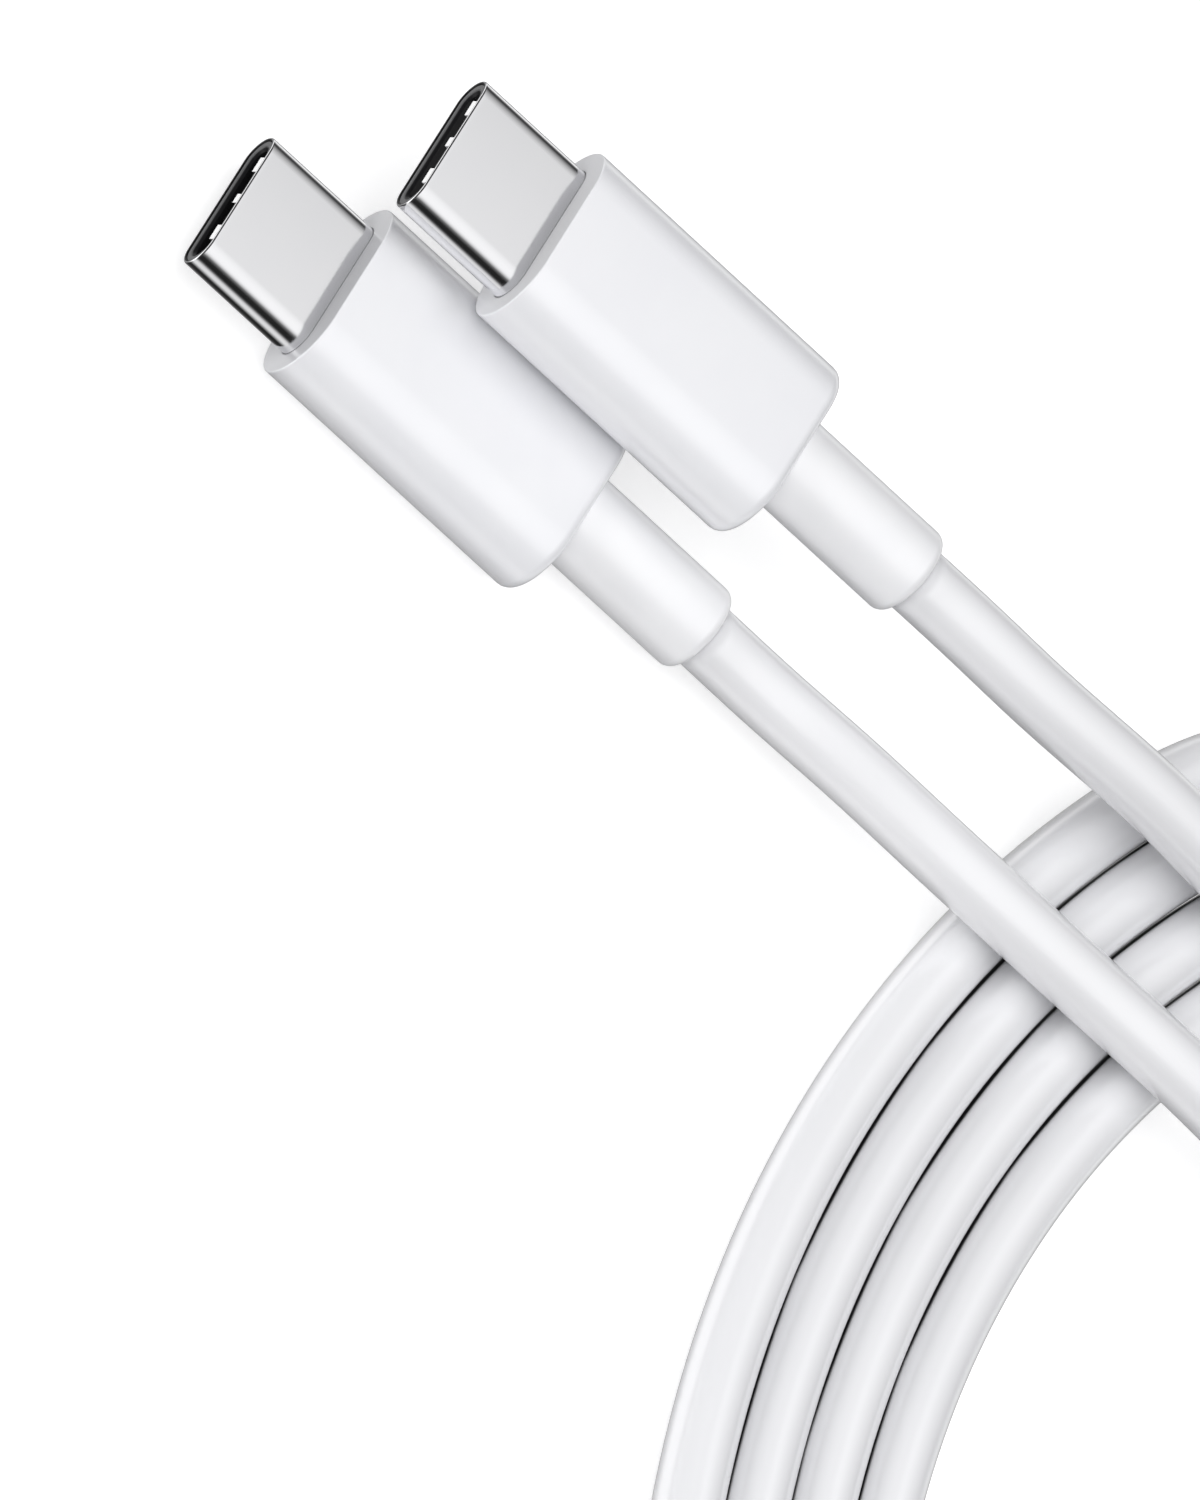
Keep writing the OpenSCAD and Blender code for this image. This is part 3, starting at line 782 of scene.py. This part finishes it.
# %% Put every finish on
def dress(piece, *materials):
    """Gives a piece its materials, one a slot; faces keep the slot they have."""
    slots = np.zeros(len(piece.data.polygons), np.int32)
    piece.data.polygons.foreach_get("material_index", slots)
    piece.data.materials.clear()
    for material in materials:
        piece.data.materials.append(material)
    piece.data.polygons.foreach_set("material_index", np.minimum(slots, len(materials) - 1))


slot_of = {entry["node"]: entry["material_slot"] for entry in frame["record"]["subparts"]}
for name, node in nodes.items():
    dress(node, finishes[slot_of[name]])
dress(cord, finishes["white_jacket"])
for end in "ab":
    # the shell's inner wall takes the painted shade of the bore
    dress(shells[end], finishes["polished_steel"], finishes["painted_shade_bore"])
    dress(mouldings[end], finishes["white_moulding"])
    dress(boots[end], finishes["white_rubber"])
    # the housings' front faces carry painted light
    dress(nodes[f"housing_{end}"], painted_lit_front(end))

# %% [markdown]
# ## Floor and light
# A pale floor runs out of sight and throws light back up under the cord. One large soft lamp almost
# overhead models the whites, two weak ones fill the near side and the front, and an even world does
# the rest. Polished metal mirrors what is round it, so mirror rays pass through the floor and see a
# studio's usual bands: a bright ceiling, a dark gap, a bright strip below table height and darkness
# under that. Ahead of the mouths it is dark too, over a low white board: the dark draws the shells'
# rolled edges, and the board lights the springs. The upper plug's steel is left out of mirror rays,
# which keeps the lower shell's flat top clean.


# %% Floor
FLOOR_COLOUR = 0.8
FLOOR_GLOW = 0.5


def floor_finish():
    """Matt pale floor that keeps the shadow; a little glow, for what looks at it, makes it white."""
    f = Finish("pale_floor", Base_Color=(*[FLOOR_COLOUR] * 3, 1), Roughness=0.85, Specular_IOR_Level=0.1,
               Emission_Strength=FLOOR_GLOW)
    seen = f.light_path("Is Camera Ray", "Is Glossy Ray", "Is Transmission Ray")
    f.feed("Emission Color", f.mix(seen, (0, 0, 0, 1), (1, 1, 1, 1)))
    return f.material


FLOOR_HALF = 3.0
floor_mesh = bpy.data.meshes.new("floor")
floor_corners = FLOOR_HALF * np.array([[-1, -1, 0], [1, -1, 0], [1, 1, 0], [-1, 1, 0]])
floor_mesh.from_pydata(floor_corners.tolist(), [], [(0, 1, 2, 3)])
floor = bpy.data.objects.new("floor", floor_mesh)
bpy.context.scene.collection.objects.link(floor)
floor_mesh.materials.append(floor_finish())
floor.visible_glossy = False


# %% Lamps
def soft_lamp(name, direction, distance, size, power, towards):
    """Square area lamp at a distance along a direction, turned to face a point."""
    data = bpy.data.lights.new(name, "AREA")
    data.shape, data.size, data.energy = "SQUARE", size, power
    lamp = bpy.data.objects.new(name, data)
    bpy.context.scene.collection.objects.link(lamp)
    direction = Vector(direction).normalized()
    lamp.location = towards + direction * distance
    lamp.rotation_mode = "QUATERNION"
    lamp.rotation_quaternion = direction.to_track_quat("Z", "Y")
    lamp.visible_glossy = False
    return lamp


middle = Vector((cad_box[0] + cad_box[1]) / 2)
soft_lamp("key", (0.08, -0.04, 1.0), 0.6, 0.85, 3.7, middle)
soft_lamp("low_fill", (0.95, -0.1, 0.2), 0.6, 0.5, 0.65, middle)
soft_lamp("front_fill", (0.1, -1.0, 0.12), 0.6, 0.2, 1.15, middle)
print("lamps: a soft key overhead, and weak fills low on the near side and in front of the mouths")

# %% World
EVEN_LIGHT = 0.30
BOARD = 1.5
DARK_AHEAD = 0.06
# Where a mirrored direction passes from one part of the studio to another, from none to all of it
FAR_TO_NEAR_X = (-0.45, 0.4)
DARK_Y, DARK_Z = (0.1, -0.25), (-0.25, -0.05)
BOARD_Y, BOARD_Z = (-0.45, -0.75), (-0.1, -0.25)
# Brightness that a mirror sees, from straight down (0) over the horizon (0.5) to overhead (1)
NEAR_BANDS = [
    (0.0, 0.02), (0.135, 0.02), (0.192, 0.28), (0.26, 0.75), (0.335, 0.88), (0.414, 0.72),
    (0.485, 0.2), (0.53, 0.05), (0.58, 0.015), (0.72, 0.02), (0.80, 0.16), (0.86, 0.75), (0.89, 0.98),
    (0.912, 1.07), (0.975, 1.12)]
FAR_BANDS = [
    (0.0, 0.3), (0.08, 0.35), (0.2, 0.3), (0.25, 0.5), (0.30, 0.95), (0.345, 1.1), (0.415, 0.63),
    (0.475, 0.08), (0.587, 0.05), (0.665, 0.22), (0.74, 0.42), (0.807, 0.57), (0.865, 0.72),
    (0.912, 0.875), (0.946, 0.95), (0.967, 1.01)]


def world_light():
    """Even pale light for the surfaces, white to the camera, and bands in reflections."""
    world = bpy.data.worlds.new("studio")
    bpy.context.scene.world = world
    world.use_nodes = True
    g = Graph(world.node_tree)
    g.tree.nodes.clear()
    direction = g.node("ShaderNodeTexCoord", out="Generated")
    x, y, z = [g.node("ShaderNodeSeparateXYZ", None, {0: direction}, out=axis) for axis in "XYZ"]
    height = 0.5 * z + 0.5
    near = g.node("ShaderNodeValToRGB", {"stops": NEAR_BANDS}, {0: height})
    far = g.node("ShaderNodeValToRGB", {"stops": FAR_BANDS}, {0: height})
    sides = g.mix(g.step(x, *FAR_TO_NEAR_X), far, near)
    dark = g.step(y, *DARK_Y) * g.step(z, *DARK_Z)
    board = g.step(y, *BOARD_Y) * g.step(z, *BOARD_Z)
    bands = g.mix(board, g.mix(dark, sides, (*[DARK_AHEAD] * 3, 1)), (*[BOARD] * 3, 1))
    even = g.node("ShaderNodeBackground", None, {0: (1, 1, 1.02, 1), 1: EVEN_LIGHT})
    mirror = g.node("ShaderNodeBackground", None, {0: bands, 1: 1.0})
    seen = g.node("ShaderNodeBackground", None, {0: (1, 1, 1, 1), 1: 1.0})
    lit = g.node("ShaderNodeMixShader", None, {0: g.light_path("Is Glossy Ray"), 1: even, 2: mirror})
    shown = g.light_path("Is Camera Ray", "Is Transmission Ray")
    mixed = g.node("ShaderNodeMixShader", None, {0: shown, 1: lit, 2: seen})
    g.node("ShaderNodeOutputWorld", None, {0: mixed})


world_light()
bpy.context.scene.view_settings.view_transform = "Standard"

# %% What mirror rays pass through
INSIDES = ("shell", "housing", "contact", "upper", "lower", "latch", "ground", "paddle", "board",
           "wires", "can", "crimp", "inner")
unmirrored = [nodes[name] for name in nodes if name.endswith("_b") and name.startswith(INSIDES)]
unmirrored.append(shells["b"])
for piece in unmirrored:
    piece.visible_glossy = False
print("pieces of the upper plug kept out of mirror rays:", len(unmirrored))

# %% Sizes
print("CAD box mm:", [[round(v / MM, 2) for v in c] for c in cad_box])
